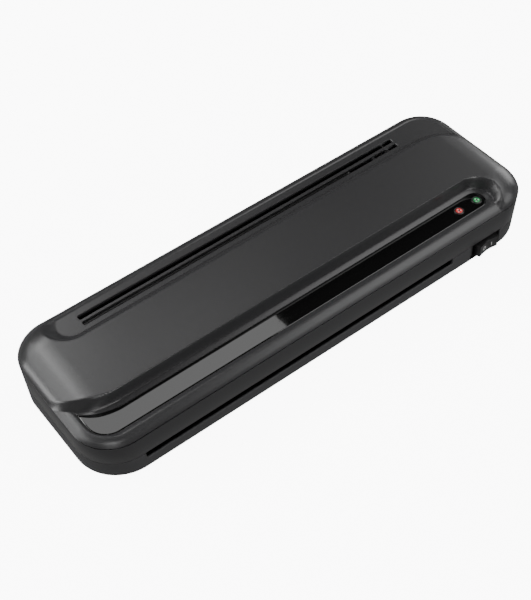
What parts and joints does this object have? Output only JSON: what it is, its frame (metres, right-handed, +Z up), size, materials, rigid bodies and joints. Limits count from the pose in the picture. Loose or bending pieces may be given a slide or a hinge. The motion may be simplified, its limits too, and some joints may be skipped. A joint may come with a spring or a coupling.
{
  "type": "pouch laminator",
  "caption": "Slim A4 pouch laminator: crowned cover over a stepped indicator deck, rear vent channel, front pouch slot, sideways rocker switch and a geared heated roller pair.",
  "frame": {"origin": "on the table, at the middle of the four feet", "axes": "+X along the machine to its switch end, +Y from the pouch slot to the back, +Z up"},
  "size_m": [0.34, 0.1124, 0.0459],
  "materials": {
    "cover_plastic": "satin moulded charcoal",
    "base_plastic": "fine-grained moulded charcoal",
    "gloss_panel": "piano black",
    "red_lens": "clear red",
    "green_lens": "clear green",
    "switch_plastic": "satin black",
    "rubber": "matt",
    "steel": "zinc plated",
    "brass": "sintered bronze",
    "aluminium": "extruded",
    "silicone": "matt silicone",
    "nylon": "natural",
    "board": "solder resist",
    "mica": "mica laminate"
  },
  "bodies": {
    "root": {"bottom_housing": "base_plastic", "upper_housing": "cover_plastic", "top_cover": "cover_plastic", "indicator_panel": "gloss_panel", "power_lens": "red_lens", "ready_lens": "green_lens", "power_lamp": "red_lens", "ready_lamp": "green_lens", "indicator_board": "board", "switch_body": "switch_plastic", "cord_gland": "rubber", "foot_rear_right": "rubber", "case_screw_rear_right": "steel", "frame_screw_rear_right": "steel", "foot_rear_left": "rubber", "case_screw_rear_left": "steel", "frame_screw_rear_left": "steel", "foot_front_right": "rubber", "case_screw_front_right": "steel", "frame_screw_front_right": "steel", "foot_front_left": "rubber", "case_screw_front_left": "steel", "frame_screw_front_left": "steel", "side_plate_left": "steel", "lower_bush_left": "brass", "pressure_spring_left": "steel", "side_plate_right": "steel", "lower_bush_right": "brass", "pressure_spring_right": "steel", "tie_bar_front": "steel", "tie_bar_rear": "steel", "idler_stud": "steel", "motor_bracket": "steel", "gear_motor": "steel", "lower_heating_plate": "aluminium", "lower_heating_element": "mica", "upper_heating_plate": "aluminium", "upper_heating_element": "mica", "thermostat": "switch_plastic", "thermal_fuse": "brass", "entry_guide": "switch_plastic", "exit_guide": "switch_plastic", "control_board": "board", "terminal_block": "nylon", "motor_capacitor": "switch_plastic"},
    "rocker": {"switch_rocker": "switch_plastic"},
    "upper_carrier": {"upper_bearing_left": "nylon", "upper_bearing_right": "nylon"},
    "upper_roller": {"upper_roller_shaft": "steel", "upper_roller_sleeve": "silicone", "upper_roller_gear": "nylon"},
    "lower_roller": {"lower_roller_shaft": "steel", "lower_roller_sleeve": "silicone", "lower_roller_gear": "nylon"},
    "idler": {"idler_gear": "nylon"},
    "pinion": {"motor_pinion": "nylon"}
  },
  "joints": [
    {"name": "power_rocker", "type": "hinge", "parent": "root", "child": "rocker", "pos_m": [0.1295, -0.0515, 0.0095], "axis": [0, 0, 1], "range_deg": [-12, 8]},
    {"name": "nip_lift", "type": "slide", "parent": "root", "child": "upper_carrier", "axis": [0, 0, 1], "range_m": [0, 0.001], "stiffness_N_per_m": 6000, "springref_m": -0.001, "deforming": ["pressure_spring_left", "pressure_spring_right"]},
    {"name": "upper_roller_spin", "type": "hinge", "parent": "upper_carrier", "child": "upper_roller", "pos_m": [0, 0.002, 0.026], "axis": [1, 0, 0], "continuous": true},
    {"name": "lower_roller_spin", "type": "hinge", "parent": "root", "child": "lower_roller", "pos_m": [0, 0.002, 0.013], "axis": [1, 0, 0], "continuous": true},
    {"name": "idler_spin", "type": "hinge", "parent": "root", "child": "idler", "pos_m": [0.1135, 0.0173, 0.01548], "axis": [1, 0, 0], "continuous": true},
    {"name": "motor_spin", "type": "hinge", "parent": "root", "child": "pinion", "pos_m": [0.1135, 0.02791, 0.02609], "axis": [1, 0, 0], "continuous": true}
  ],
  "couplings": [
    {"joint": "upper_roller_spin", "follows": "lower_roller_spin", "ratio": -1},
    {"joint": "idler_spin", "follows": "lower_roller_spin", "ratio": -0.72222},
    {"joint": "motor_spin", "follows": "lower_roller_spin", "ratio": 1.0833}
  ]
}
